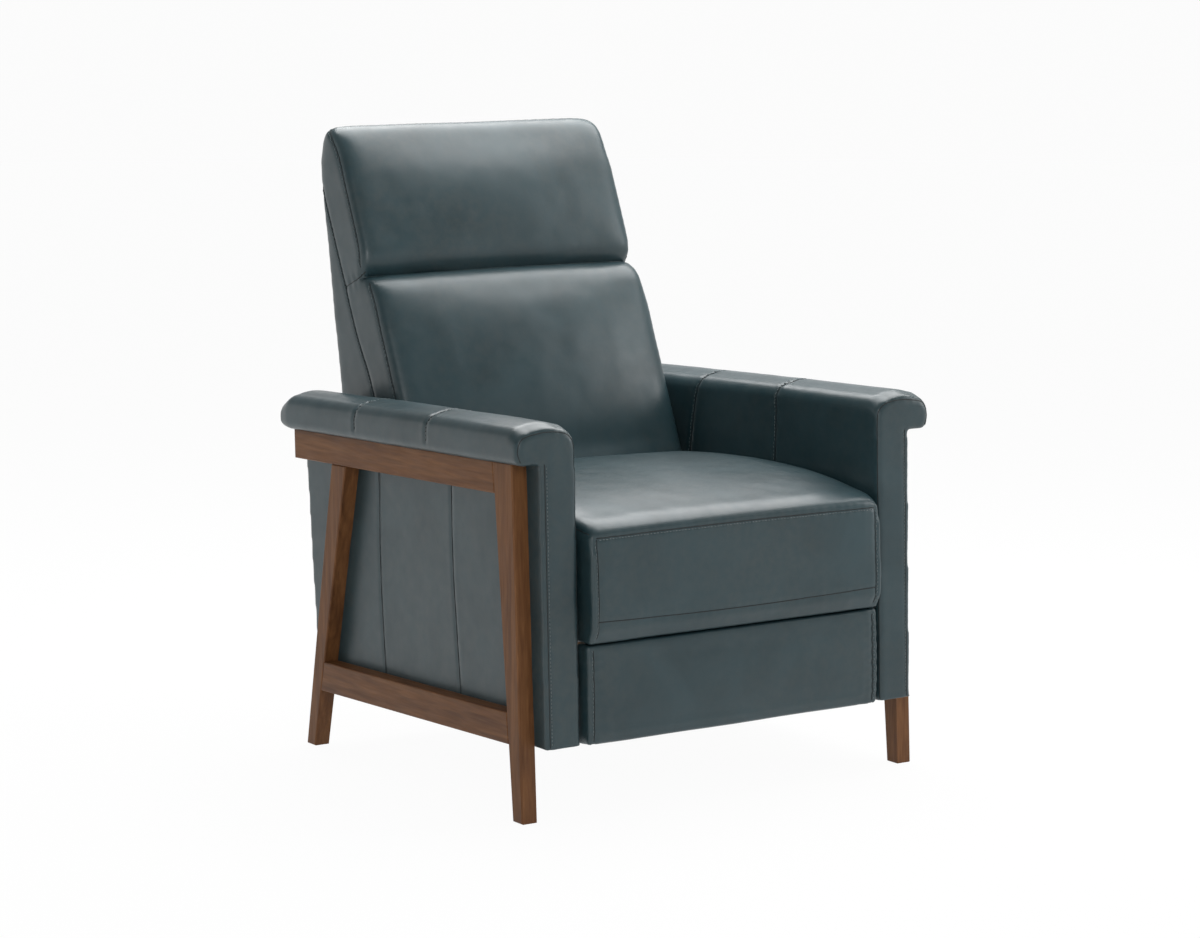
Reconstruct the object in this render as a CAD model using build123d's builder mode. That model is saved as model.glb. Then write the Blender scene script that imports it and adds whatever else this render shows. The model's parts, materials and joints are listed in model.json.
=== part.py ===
from build123d import *
from math import copysign, cos, degrees, atan2, hypot, radians, sin, tan
import os

os.makedirs("parts", exist_ok=True)

# Push-back recliner armchair, in millimetres. +Z is up, the chair faces -Y, and left is the sitter's left, +X.
# The whole body leans back a little, so side views are drawn as (depth, height) on planes that lean with it:
# depth runs rearward from the front feet, height runs up from the floor under them.

# Stance
body_tilt = 1.95
front_foot_y = -384.1

# Wooden sides
frame_half_width = 380.0
wood_thickness = 27.0
foot_width = 27.0
front_leg_lean = 8.0
front_leg_top_width = 52.0
rail_height = 50.0
top_rail_top = 556.5
top_rail_rear = 688.0
lower_rail_bottom = 120.0
rear_leg_top_depth = 518.0
rear_leg_top_width = 46.0
rear_foot_depth = 647.5
wood_round = 2.5
edge_margin = 0.1
glide_radius = 8.0
glide_length = 12.0
dowel_radius = 4.0
dowel_length = 34.0
dowel_inset = 13.0
rail_bolt_depths = (120.0, 470.0)

# Arms
arm_thickness = 62.0
arm_front = -34.0
arm_bottom = 117.0
arm_rear_bottom = 674.0
arm_rear_top = 701.0
arm_core_thickness = 24.0
arm_core_margin = 18.0
pad_height = 64.0
pad_overhang = 16.0
pad_rear = 711.0
pad_round = 25.0
pad_lip_round = 12.0
pad_crown = 5.0
pad_round_most = 0.55
pad_lip_most = 0.35
# Ends of an arm top: distance in from its end, drop of its top, tuck of its outer edge
pad_front_ends = ((0.0, 16.0, 0.0), (24.0, 6.0, 0.0))
pad_rear_ends = ((26.0, 8.0, 0.0), (0.0, 22.0, 3.0))

# Bolts, screws and rivets
bolt_radius = 3.0
bolt_head_radius = 6.0
bolt_head = 4.0
bolt_in_wood = 19.0
screw_radius = 2.2
screw_head_radius = 4.5
screw_head = 3.0
rivet_radius = 4.0
rivet_head_radius = 7.0
rivet_head = 1.4
pivot_pin_radius = 6.0
pivot_pin_head_radius = 9.0
hole_clearance = 0.06

# Base between the arms
cross_rail_thickness = 24.0
cross_rail_height = 46.0
cross_rail_rise = 1.0
front_cross_depth = 345.0
rear_cross_depth = 639.0
cross_bolt_reach = 40.0

# Steel mechanism, in flat layers that step inward from each arm
steel = 3.0
layer_pitch = 5.0
plate_layer = 0
swing_layer = 1
seat_layer = 2
drive_layer = 3
carrier_layer = 4
stay_layer = 5
bracket_layer = 6
link_width = 20.0
plate_edge = 12.0
swing_height = 150.0
front_swing_depth = 230.0
rear_swing_depth = 430.0
swing_length = 105.0
swing_half_turn = 17.0
base_plate_margin = 26.0
base_plate_height = 44.0
base_plate_bolt_shares = (0.2, 0.85)

# Footrest linkage
drive_depth = 160.0
drive_height = 218.0
drive_length = 185.0
drive_stowed = 56.0
drive_crank_width = 16.0
guide_back = -85.0
guide_rise = 26.0
stay_crank = 24.0
stay_crank_angle = 50.5
stay_arm = 60.0
stay_arm_angle = 22.9
stay_width = 12.0
stay_slack = 1.35
stay_eye_wall = 2.5
tube_radius = 11.0
tube_wall = 2.5

# Footrest
footrest_half_width = 282.0
footrest_front = -42.0
footrest_bottom = 113.0
footrest_gap = 3.0
footrest_crown = 6.0
footrest_edge = 14.0
footrest_edge_share = 0.6
footrest_rear_round = 4.0
footrest_rear_run = 10.0
footrest_lip = (12.0, 5.0)
footrest_roll = (3.0, 13.0)
footrest_face = 28.0
board_half_width = 268.0
board_thickness = 15.0
board_rear = 10.0
board_margin = 9.0
bracket_flange = 27.0
footrest_screw_inset = 16.2
footrest_screw_shares = (0.3, 0.8)
screw_in_board = 10.5
bracket_arm_width = 24.0
footrest_pivot_setback = 14.0

# Seat
seat_half_width = 278.0
seat_front = -58.0
seat_border_bottom = 275.0
seat_seam = 440.0
seat_shoulder = 472.0
seat_top = 488.0
seat_crown = 7.0
seat_edge = 8.0
seat_tuck_share = 0.38
seat_lower_seam = 30.0
seat_lower_inset = 4.0
seat_upper_inset = 2.0
seat_shoulder_run = 44.0
seat_shoulder_bulge = 12.0
seat_shoulder_share = 0.72
seat_top_rise = 3.0
seat_rear_drop = 4.0
seat_screw_shares = (0.2, 0.5, 0.8)
seat_frame_half_width = 258.0
seat_rail_thickness = 22.0
seat_screw_depth_share = 0.6
seat_rail_height = 45.0
seat_frame_bottom = 300.0
seat_frame_front = 8.0
seat_frame_rear = 455.0
seat_spring_count = 5
seat_spring_step = 80.0
seat_spring_runs = 16
deck_thickness = 3.0
soft_gap = 0.3

# Springs and their clips
wire_radius = 1.8
wire_half_run = 14.0
clip_length = 14.0
clip_width = 12.0
clip_height = 5.6

# Back, drawn as (through, along): through from its front face to the rear, along up the face
back_foot_depth = 478.0
back_foot_height = 496.0
back_lean = 21.1
back_half_width = 269.5
back_pad = 84.0
lumbar_low = -100.0
lumbar_foot = 14.0
lumbar_roll = 40.0
crease_along = 349.0
crease_gap = 3.0
lumbar_crown = 22.0
head_setback = 14.0
head_top = 622.0
head_pad = 86.0
head_roll = 42.0
head_crown = 13.2
head_bend = 109.0
head_rear_drop = 34.0
head_crest = 32.0
back_edge = 9.0
roll_share = 0.3
roll_crown_share = 0.4
head_crest_shares = (0.3, 0.16)
head_brow_shares = (0.26, 0.28)
back_pivot_depth = 480.0
back_pivot_height = 290.0
stile_width = 27.0
stile_depth = 38.0
stile_outer = 256.0
stile_low = -190.0
back_rail_height = 45.0
back_mid_rail = 110.0
back_spring_count = 4
back_spring_low = -70.0
back_spring_step = 100.0
back_spring_runs = 18
side_panel_thickness = 6.0
shell_thickness = 14.0
shell_low_depth = 676.0
shell_low_height = 247.0
shell_top_depth = 780.0
shell_top_height = 1000.0
bracket_reach = 25.0
bracket_inset = 8.0
bracket_ear = 15.6
bracket_foot_along = -142.5
bracket_bolt_alongs = (-104.5, -28.5)
bolt_in_stile = 21.6

# Cushions: where their cross-sections stand from side to side, and the share of the width before the rounding
cushion_shares = (-1.0, -0.985, -0.94, -0.88, -0.62, -0.32, 0.0, 0.32, 0.62, 0.88, 0.94, 0.985, 1.0)
cushion_flat = 0.88
crown_middle = 1.05

# Places that follow from the sizes above
SIDES = (("left", 1), ("right", -1))
lean = radians(body_tilt)
wood_inner = frame_half_width - wood_thickness
wood_middle = frame_half_width - wood_thickness / 2
arm_inner = wood_inner - arm_thickness
arm_middle = arm_inner + arm_thickness / 2
core_inner = arm_middle - arm_core_thickness / 2
core_outer = arm_middle + arm_core_thickness / 2
rail_under = top_rail_top - rail_height
lower_rail_top = lower_rail_bottom + rail_height
cross_rail_bottom = arm_bottom + cross_rail_rise
seat_frame_top = seat_frame_bottom + seat_rail_height
deck_bottom = seat_frame_top + 2 * wire_radius + soft_gap
cushion_bottom = deck_bottom + deck_thickness + soft_gap
footrest_top = seat_border_bottom - footrest_gap
board_front = board_rear - board_thickness
back_frame_front = back_pad + clip_height + soft_gap
stile_inner = stile_outer - stile_width
stile_high = crease_along - crease_gap


def floor_height(depth):
    """Height of the level floor below a depth."""
    return depth * tan(lean)


def spin(vector, angle):
    """A (depth, height) vector turned by degrees from depth towards height."""
    a = radians(angle)
    return (vector[0] * cos(a) - vector[1] * sin(a), vector[0] * sin(a) + vector[1] * cos(a))


def shift(point, vector):
    return (point[0] + vector[0], point[1] + vector[1])


def back_point(through, along):
    """(depth, height) of a place given on the back."""
    return shift((back_foot_depth, back_foot_height), spin((through, along), -back_lean))


def through_along(point):
    """(through, along) on the back of a (depth, height) place."""
    return spin((point[0] - back_foot_depth, point[1] - back_foot_height), back_lean)


# Pivots of the mechanism as (depth, height)
swing_lean = (swing_length * sin(radians(swing_half_turn)), swing_length * cos(radians(swing_half_turn)))
front_swing_low = (front_swing_depth, swing_height)
rear_swing_low = (rear_swing_depth, swing_height)
front_swing_high = shift(front_swing_low, swing_lean)
rear_swing_high = shift(rear_swing_low, swing_lean)
drive_pivot = (drive_depth, drive_height)
guide_pivot = shift(drive_pivot, (guide_back, guide_rise))
drive_end = shift(drive_pivot, (drive_length * sin(radians(drive_stowed)),
                                -drive_length * cos(radians(drive_stowed))))
guide_end = shift(drive_end, (guide_back, guide_rise))
footrest_depth = board_rear + footrest_pivot_setback
footrest_pivot = (footrest_depth, drive_end[1] + (footrest_depth - drive_end[0]) * guide_rise / guide_back)
stay_rear = shift(drive_end, spin((stay_crank, 0), stay_crank_angle))
stay_front = shift(footrest_pivot, spin((stay_arm, 0), stay_arm_angle))
back_pivot = (back_pivot_depth, back_pivot_height)


def body_vector(depth, height):
    return Vector(0, depth * cos(lean) + height * sin(lean), height * cos(lean) - depth * sin(lean))


def body_origin(depth=0.0, height=0.0):
    return Vector(0, front_foot_y, 0) + body_vector(depth, height)


def side_plane(x):
    """Local axes are depth and height, facing +X."""
    return Plane(origin=body_origin() + Vector(x, 0, 0), x_dir=body_vector(1, 0), z_dir=(1, 0, 0))


def front_plane(depth):
    """Local axes are X and height, facing forward."""
    return Plane(origin=body_origin(depth), x_dir=(1, 0, 0), z_dir=body_vector(-1, 0))


def deck_plane(height):
    """Local axes are X and depth, facing up."""
    return Plane(origin=body_origin(0, height), x_dir=(1, 0, 0), z_dir=body_vector(0, 1))


def back_face(through):
    """Local axes are X and the back's along, facing forward out of the back."""
    return Plane(origin=body_origin(*back_point(through, 0)), x_dir=(1, 0, 0),
                 z_dir=body_vector(*spin((-1, 0), -back_lean)))


def outline(plane, points):
    with BuildSketch(plane) as drawing:
        with BuildLine():
            Polyline(*points, close=True)
        make_face()
    return drawing.sketch


def discs(plane, points, radius):
    with BuildSketch(plane) as drawing:
        with Locations(*points):
            Circle(radius)
    return drawing.sketch


def slab(points, x_from, x_to, mode=Mode.ADD):
    """A side outline extruded between two X values."""
    extrude(outline(side_plane(x_from), points), amount=x_to - x_from, mode=mode)


def rods(points, radius, x_from, x_to, mode=Mode.ADD):
    """Round bars, or holes, along X."""
    extrude(discs(side_plane(x_from), points, radius), amount=x_to - x_from, mode=mode)


def holes(points, radius, x_from, x_to):
    rods(points, radius + hole_clearance, x_from, x_to, mode=Mode.SUBTRACT)


def box_points(depth_from, depth_to, height_from, height_to):
    return [(depth_from, height_from), (depth_to, height_from), (depth_to, height_to), (depth_from, height_to)]


def cushion_sections(section, half_width, edge, crown):
    """Cross-sections of a cushion from side to side: rounded in at both ends, swelling towards the middle."""
    rounded = 1 - cushion_flat
    drawings = []
    for share in cushion_shares:
        run = max(0.0, (abs(share) - cushion_flat) / rounded)
        drawings.append(section(share * half_width, edge * (1 - (1 - run ** 2) ** 0.5),
                                crown * (crown_middle - share ** 2)))
    return drawings


def link(start, end, width, x_from, x_to):
    """A flat bar with round ends between two pivots."""
    run = (end[0] - start[0], end[1] - start[1])
    with BuildSketch(side_plane(x_from)) as drawing:
        with Locations(((start[0] + end[0]) / 2, (start[1] + end[1]) / 2)):
            SlotCenterToCenter(hypot(*run), width, rotation=degrees(atan2(run[1], run[0])))
    extrude(drawing.sketch, amount=x_to - x_from)


def headed_pin(points, tail, face, radius, head_radius, head):
    """Pins from tail to face, with a head standing beyond face."""
    end = face + copysign(head, face - tail)
    rods(points, radius, tail, end)
    rods(points, head_radius, face, end)


def layer_outer(layer):
    return arm_inner - layer * layer_pitch


def layer_inner(layer):
    return layer_outer(layer) - steel


def layer_span(sign, layer):
    """X of the inner and outer faces of a layer on one side."""
    return (sign * layer_inner(layer), sign * layer_outer(layer))


def rivets(points, sign, tail, face):
    headed_pin(points, sign * tail, sign * face, rivet_radius, rivet_head_radius, rivet_head)


# Wooden sides: outlines and the places of their dowels, glides and bolts
front_leg_slope = front_leg_lean / top_rail_top
front_leg_back_top = front_leg_lean * rail_under / top_rail_top + front_leg_top_width
front_leg_back_slope = (front_leg_back_top - foot_width) / rail_under
rear_foot_height = floor_height(rear_foot_depth)
rear_leg_slope = (rear_foot_depth - rear_leg_top_depth) / (rail_under - rear_foot_height)


def front_leg_back(height):
    return foot_width + front_leg_back_slope * height


def rear_leg_front(height):
    return rear_leg_top_depth + rear_leg_slope * (rail_under - height)


front_leg_points = [(0, 0), (foot_width, floor_height(foot_width)),
                    (front_leg_back(top_rail_top), top_rail_top), (front_leg_lean, top_rail_top)]
top_rail_points = [(front_leg_back(rail_under), rail_under), (top_rail_rear, rail_under),
                   (top_rail_rear, top_rail_top), (front_leg_back(top_rail_top), top_rail_top)]
lower_rail_points = [(front_leg_back(lower_rail_bottom), lower_rail_bottom),
                     (rear_leg_front(lower_rail_bottom), lower_rail_bottom),
                     (rear_leg_front(lower_rail_top), lower_rail_top),
                     (front_leg_back(lower_rail_top), lower_rail_top)]
rear_heel_depth = rear_foot_depth + foot_width
rear_leg_points = [(rear_leg_top_depth, rail_under), (rear_foot_depth, rear_foot_height),
                   (rear_heel_depth, floor_height(rear_heel_depth)),
                   (rear_leg_top_depth + rear_leg_top_width, rail_under)]

top_rail_dowels = [rail_under + dowel_inset, top_rail_top - dowel_inset]
lower_rail_dowels = [lower_rail_bottom + dowel_inset, lower_rail_top - dowel_inset]
rear_leg_dowels = [rear_leg_top_depth + dowel_inset, rear_leg_top_depth + rear_leg_top_width - dowel_inset]
front_glide_depth = foot_width / 2
rear_glide_depth = rear_foot_depth + foot_width / 2
rail_bolts = [(depth, (low + high) / 2) for depth in rail_bolt_depths
              for low, high in ((rail_under, top_rail_top), (lower_rail_bottom, lower_rail_top))]


def dowel_set(x, radius, mode):
    """The dowels of one wooden side, or the holes for them."""
    joints = [(front_leg_back(h), h) for h in top_rail_dowels + lower_rail_dowels]
    joints += [(rear_leg_front(h), h) for h in lower_rail_dowels]
    for depth, height in joints:
        hole = discs(front_plane(depth), [(x, height)], radius)
        extrude(hole, amount=dowel_length / 2, both=True, mode=mode)
    for depth in rear_leg_dowels:
        hole = discs(deck_plane(rail_under), [(x, depth)], radius)
        extrude(hole, amount=dowel_length / 2, both=True, mode=mode)


def glide_set(x, depth, radius, mode):
    """A glide in the end of a foot, or its hole, standing on the level floor."""
    y = body_origin(depth, floor_height(depth)).Y
    extrude(discs(Plane.XY, [(x, y)], radius), amount=glide_length, mode=mode)


def wooden_piece(points, sign):
    """One member of a wooden side, drilled for its dowels and bolts, with its outer edges eased."""
    slab(points, sign * wood_inner, sign * frame_half_width)
    outer = sign * frame_half_width
    side_edges = edges().filter_by_position(Axis.X, outer - edge_margin, outer + edge_margin)
    fillet(side_edges, wood_round)
    dowel_set(sign * wood_middle, dowel_radius + hole_clearance, Mode.SUBTRACT)
    holes(rail_bolts, bolt_radius, sign * wood_inner, sign * (wood_inner + bolt_in_wood))


for side, sign in SIDES:
    with BuildPart() as front_leg:
        wooden_piece(front_leg_points, sign)
        glide_set(sign * wood_middle, front_glide_depth, glide_radius + hole_clearance, Mode.SUBTRACT)
    front_leg.part.label = f"front_leg_{side}"
    export_step(front_leg.part, f"parts/front_leg_{side}.step")

    with BuildPart() as rear_leg:
        wooden_piece(rear_leg_points, sign)
        glide_set(sign * wood_middle, rear_glide_depth, glide_radius + hole_clearance, Mode.SUBTRACT)
    rear_leg.part.label = f"rear_leg_{side}"
    export_step(rear_leg.part, f"parts/rear_leg_{side}.step")

    with BuildPart() as top_rail:
        wooden_piece(top_rail_points, sign)
    top_rail.part.label = f"top_rail_{side}"
    export_step(top_rail.part, f"parts/top_rail_{side}.step")

    with BuildPart() as lower_rail:
        wooden_piece(lower_rail_points, sign)
    lower_rail.part.label = f"lower_rail_{side}"
    export_step(lower_rail.part, f"parts/lower_rail_{side}.step")

with BuildPart() as frame_dowels:
    for side, sign in SIDES:
        dowel_set(sign * wood_middle, dowel_radius, Mode.ADD)
frame_dowels.part.label = "frame_dowels"
export_step(frame_dowels.part, "parts/frame_dowels.step")

with BuildPart() as foot_glides:
    for side, sign in SIDES:
        glide_set(sign * wood_middle, front_glide_depth, glide_radius, Mode.ADD)
        glide_set(sign * wood_middle, rear_glide_depth, glide_radius, Mode.ADD)
foot_glides.part.label = "foot_glides"
export_step(foot_glides.part, "parts/foot_glides.step")

# Arms: a plywood core in a padded cover, and a padded top that rolls out over the top rail
arm_points = [(arm_front, arm_bottom), (arm_rear_bottom, arm_bottom), (arm_rear_top, top_rail_top),
              (arm_front, top_rail_top)]
core_points = [(arm_front + arm_core_margin, arm_bottom), (arm_rear_bottom - arm_core_margin, arm_bottom),
               (arm_rear_top - arm_core_margin, top_rail_top), (arm_front + arm_core_margin, top_rail_top)]
cross_bolt_heights = [cross_rail_bottom + dowel_inset, cross_rail_bottom + cross_rail_height - dowel_inset]
cross_bolts = [(depth + cross_rail_thickness / 2, height)
               for depth in (front_cross_depth, rear_cross_depth) for height in cross_bolt_heights]
base_plate_bolts = [(front_swing_depth + (rear_swing_depth - front_swing_depth) * share, swing_height)
                    for share in base_plate_bolt_shares]
cross_rail_end = arm_inner - cross_bolt_reach


def arm_drilling(sign):
    """Holes through an arm for the bolts of its wooden side, the cross rails and the base plate."""
    holes(rail_bolts, bolt_radius, sign * core_inner, sign * wood_inner)
    holes(rail_bolts, bolt_head_radius, sign * core_inner, sign * (core_inner + bolt_head))
    holes(cross_bolts, bolt_radius, sign * arm_inner, sign * core_outer)
    holes(cross_bolts, bolt_head_radius, sign * (core_outer - bolt_head), sign * core_outer)
    holes(base_plate_bolts, bolt_radius, sign * arm_inner, sign * (core_inner + bolt_in_wood))


def pad_section(depth, sign, drop, tuck):
    """Cross-section of an arm top: flat underneath, rolled over at its outer edge and crowned on top."""
    top = top_rail_top + pad_height - drop
    outer = frame_half_width + pad_overhang - tuck
    low = top_rail_top + tuck
    roll = min(pad_round, pad_round_most * (top - low))
    lip_roll = min(pad_lip_round, pad_lip_most * (top - low))
    corner = roll * (1 - cos(radians(45)))
    lip = lip_roll * (1 - cos(radians(45)))
    middle = (arm_inner + outer) / 2
    with BuildSketch(front_plane(depth)) as drawing:
        with BuildLine():
            inner_foot = (sign * arm_inner, low)
            inner_top = (sign * arm_inner, top - roll)
            top_inner = (sign * (arm_inner + roll), top)
            top_outer = (sign * (outer - roll), top)
            outer_top = (sign * outer, top - roll)
            outer_low = (sign * outer, low + lip_roll)
            outer_foot = (sign * (outer - lip_roll), low)
            Line(inner_foot, inner_top)
            ThreePointArc(inner_top, (sign * (arm_inner + corner), top - corner), top_inner)
            ThreePointArc(top_inner, (sign * middle, top + pad_crown), top_outer)
            ThreePointArc(top_outer, (sign * (outer - corner), top - corner), outer_top)
            Line(outer_top, outer_low)
            ThreePointArc(outer_low, (sign * (outer - lip), low + lip), outer_foot)
            Line(outer_foot, inner_foot)
        make_face()
    return drawing.sketch


for side, sign in SIDES:
    with BuildPart() as arm_core:
        slab(core_points, sign * core_inner, sign * core_outer)
        arm_drilling(sign)
    arm_core.part.label = f"arm_core_{side}"
    export_step(arm_core.part, f"parts/arm_core_{side}.step")

    with BuildPart() as arm_cover:
        slab(arm_points, sign * arm_inner, sign * wood_inner)
        slab(core_points, sign * core_inner, sign * core_outer, mode=Mode.SUBTRACT)
        arm_drilling(sign)
    arm_cover.part.label = f"arm_cover_{side}"
    export_step(arm_cover.part, f"parts/arm_cover_{side}.step")

    with BuildPart() as arm_pad:
        front_ends = [pad_section(arm_front + inset, sign, drop, tuck) for inset, drop, tuck in pad_front_ends]
        middle = pad_section((arm_front + pad_rear) / 2, sign, pad_crown, 0)
        rear_ends = [pad_section(pad_rear - inset, sign, drop, tuck) for inset, drop, tuck in pad_rear_ends]
        loft([*front_ends, middle, *rear_ends], ruled=True)
    arm_pad.part.label = f"arm_pad_{side}"
    export_step(arm_pad.part, f"parts/arm_pad_{side}.step")

# Base: cross rails between the arms, and the bolts that hold the base together
for name, depth, half_length in (("front_cross_rail", front_cross_depth, layer_inner(plate_layer)),
                                 ("rear_cross_rail", rear_cross_depth, arm_inner)):
    with BuildPart() as cross_rail:
        slab(box_points(depth, depth + cross_rail_thickness, cross_rail_bottom,
                        cross_rail_bottom + cross_rail_height), -half_length, half_length)
        for side, sign in SIDES:
            holes(cross_bolts, bolt_radius, sign * arm_inner, sign * cross_rail_end)
    cross_rail.part.label = name
    export_step(cross_rail.part, f"parts/{name}.step")

with BuildPart() as frame_bolts:
    for side, sign in SIDES:
        headed_pin(rail_bolts, sign * (wood_inner + bolt_in_wood), sign * (core_inner + bolt_head),
                   bolt_radius, bolt_head_radius, bolt_head)
        headed_pin(cross_bolts, sign * cross_rail_end, sign * (core_outer - bolt_head),
                   bolt_radius, bolt_head_radius, bolt_head)
        headed_pin(base_plate_bolts, sign * (core_inner + bolt_in_wood), sign * layer_inner(plate_layer),
                   bolt_radius, bolt_head_radius, bolt_head)
frame_bolts.part.label = "frame_bolts"
export_step(frame_bolts.part, "parts/frame_bolts.step")

# Steel base plates and the two pairs of swing links that carry the seat
base_plate_points = box_points(front_swing_depth - base_plate_margin, rear_swing_depth + base_plate_margin,
                               swing_height - base_plate_height / 2, swing_height + base_plate_height / 2)

with BuildPart() as base_plates:
    for side, sign in SIDES:
        slab(base_plate_points, *layer_span(sign, plate_layer))
        holes([front_swing_low, rear_swing_low], rivet_radius, *layer_span(sign, plate_layer))
        holes(base_plate_bolts + cross_bolts, bolt_radius, *layer_span(sign, plate_layer))
base_plates.part.label = "base_plates"
export_step(base_plates.part, "parts/base_plates.step")

with BuildPart() as base_rivets:
    for side, sign in SIDES:
        rivets([front_swing_low, rear_swing_low], sign, layer_outer(plate_layer), layer_inner(swing_layer))
base_rivets.part.label = "base_rivets"
export_step(base_rivets.part, "parts/base_rivets.step")

for name, low, high in (("front_swing_links", front_swing_low, front_swing_high),
                        ("rear_swing_links", rear_swing_low, rear_swing_high)):
    with BuildPart() as swing_links:
        for side, sign in SIDES:
            link(low, high, link_width, *layer_span(sign, swing_layer))
            holes([low, high], rivet_radius, *layer_span(sign, swing_layer))
    swing_links.part.label = name
    export_step(swing_links.part, f"parts/{name}.step")

# Seat: steel plates, a wooden frame on their flanges, springs, deck and cushion
seat_plate_points = [(guide_pivot[0] - plate_edge, seat_frame_bottom),
                     (back_pivot[0] + plate_edge, seat_frame_bottom),
                     (back_pivot[0] + plate_edge, back_pivot[1] - plate_edge),
                     (rear_swing_high[0] + plate_edge, rear_swing_high[1] - plate_edge),
                     (front_swing_high[0] - plate_edge, front_swing_high[1] - plate_edge),
                     (drive_pivot[0] + plate_edge, drive_pivot[1] - plate_edge),
                     (drive_pivot[0] - plate_edge, drive_pivot[1] - plate_edge),
                     (guide_pivot[0] - plate_edge, guide_pivot[1] - plate_edge)]
seat_frame_inner = seat_frame_half_width - seat_rail_thickness
seat_screw_x = (seat_frame_half_width + seat_frame_inner) / 2
seat_frame_run = seat_frame_rear - seat_frame_front
screw_places = [(seat_screw_x, seat_frame_front + seat_frame_run * share) for share in seat_screw_shares]
screw_reach = seat_rail_height * seat_screw_depth_share


def screw_row(sign, radius, height_from, height_to, mode):
    places = [(sign * x, depth) for x, depth in screw_places]
    extrude(discs(deck_plane(height_from), places, radius), amount=height_to - height_from, mode=mode)


with BuildPart() as seat_plates:
    for side, sign in SIDES:
        slab(seat_plate_points, *layer_span(sign, seat_layer))
        slab(box_points(seat_frame_front, seat_frame_rear, seat_frame_bottom - steel, seat_frame_bottom),
             sign * seat_frame_inner, sign * layer_outer(seat_layer))
        holes([front_swing_high, rear_swing_high, drive_pivot, guide_pivot], rivet_radius,
              *layer_span(sign, seat_layer))
        holes([back_pivot], pivot_pin_radius, *layer_span(sign, seat_layer))
        screw_row(sign, screw_radius + hole_clearance, seat_frame_bottom - steel, seat_frame_bottom,
                  Mode.SUBTRACT)
seat_plates.part.label = "seat_plates"
export_step(seat_plates.part, "parts/seat_plates.step")

with BuildPart() as seat_rivets:
    for side, sign in SIDES:
        rivets([front_swing_high, rear_swing_high], sign, layer_inner(seat_layer), layer_outer(swing_layer))
        rivets([drive_pivot, guide_pivot], sign, layer_outer(seat_layer), layer_inner(drive_layer))
        headed_pin([back_pivot], sign * layer_outer(seat_layer), sign * stile_outer, pivot_pin_radius,
                   pivot_pin_head_radius, rivet_head)
seat_rivets.part.label = "seat_rivets"
export_step(seat_rivets.part, "parts/seat_rivets.step")

for side, sign in SIDES:
    with BuildPart() as seat_side_rail:
        slab(box_points(seat_frame_front, seat_frame_rear, seat_frame_bottom, seat_frame_top),
             sign * seat_frame_inner, sign * seat_frame_half_width)
        screw_row(sign, screw_radius + hole_clearance, seat_frame_bottom, seat_frame_bottom + screw_reach,
                  Mode.SUBTRACT)
    seat_side_rail.part.label = f"seat_side_rail_{side}"
    export_step(seat_side_rail.part, f"parts/seat_side_rail_{side}.step")

for name, depth in (("seat_front_rail", seat_frame_front),
                    ("seat_rear_rail", seat_frame_rear - seat_rail_thickness)):
    with BuildPart() as seat_rail:
        slab(box_points(depth, depth + seat_rail_thickness, seat_frame_bottom, seat_frame_top),
             -seat_frame_inner, seat_frame_inner)
    seat_rail.part.label = name
    export_step(seat_rail.part, f"parts/{name}.step")

with BuildPart() as seat_frame_screws:
    for side, sign in SIDES:
        screw_row(sign, screw_radius, seat_frame_bottom - steel, seat_frame_bottom + screw_reach, Mode.ADD)
        screw_row(sign, screw_head_radius, seat_frame_bottom - steel - screw_head, seat_frame_bottom - steel,
                  Mode.ADD)
seat_frame_screws.part.label = "seat_frame_screws"
export_step(seat_frame_screws.part, "parts/seat_frame_screws.step")


def sinuous_wire(plane, start, step, runs, along_x):
    """A zigzag spring wire: straight runs joined by half turns, moving by step from run to run."""

    def place(across, forward):
        if along_x:
            return (start[0] + forward, start[1] + across)
        return (start[0] + across, start[1] + forward)

    with BuildLine(plane) as path:
        for run in range(runs + 1):
            end = wire_half_run if run % 2 == 0 else -wire_half_run
            Line(place(-end, run * step), place(end, run * step))
            if run < runs:
                bulge = end + copysign(step / 2, end)
                ThreePointArc(place(end, run * step), place(bulge, (run + 0.5) * step),
                              place(end, (run + 1) * step))
    with BuildSketch(Plane(origin=path.line @ 0, z_dir=path.line % 0)) as section:
        Circle(wire_radius)
    sweep(section.sketch, path=path.line)


def clip(plane, place, along_x):
    """A block standing on a rail, with a tunnel for the end run of a spring."""
    with BuildSketch(plane) as foot:
        with Locations(place):
            Rectangle(clip_width if along_x else clip_length, clip_length if along_x else clip_width)
    extrude(foot.sketch, amount=clip_height)
    tunnel_end = Plane(origin=plane.from_local_coords((*place, wire_radius)),
                       z_dir=plane.y_dir if along_x else plane.x_dir)
    with BuildSketch(tunnel_end) as tunnel:
        Circle(wire_radius + hole_clearance)
    extrude(tunnel.sketch, amount=clip_length, both=True, mode=Mode.SUBTRACT)


seat_spring_front = seat_frame_front + seat_rail_thickness / 2
seat_spring_rear = seat_frame_rear - seat_rail_thickness / 2
seat_spring_pitch = (seat_spring_rear - seat_spring_front) / seat_spring_runs
seat_spring_xs = [(i - (seat_spring_count - 1) / 2) * seat_spring_step for i in range(seat_spring_count)]

with BuildPart() as seat_springs:
    for x in seat_spring_xs:
        sinuous_wire(deck_plane(seat_frame_top + wire_radius), (x, seat_spring_front), seat_spring_pitch,
                     seat_spring_runs, along_x=False)
seat_springs.part.label = "seat_springs"
export_step(seat_springs.part, "parts/seat_springs.step")

with BuildPart() as seat_spring_clips:
    for x in seat_spring_xs:
        for depth in (seat_spring_front, seat_spring_rear):
            clip(deck_plane(seat_frame_top), (x, depth), along_x=False)
seat_spring_clips.part.label = "seat_spring_clips"
export_step(seat_spring_clips.part, "parts/seat_spring_clips.step")

seat_rear_slope = tan(radians(back_lean))


def seat_rear(height):
    """The seat's sloping rear face, just clear of the back."""
    return back_foot_depth - crease_gap + (height - back_foot_height) * seat_rear_slope


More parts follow.
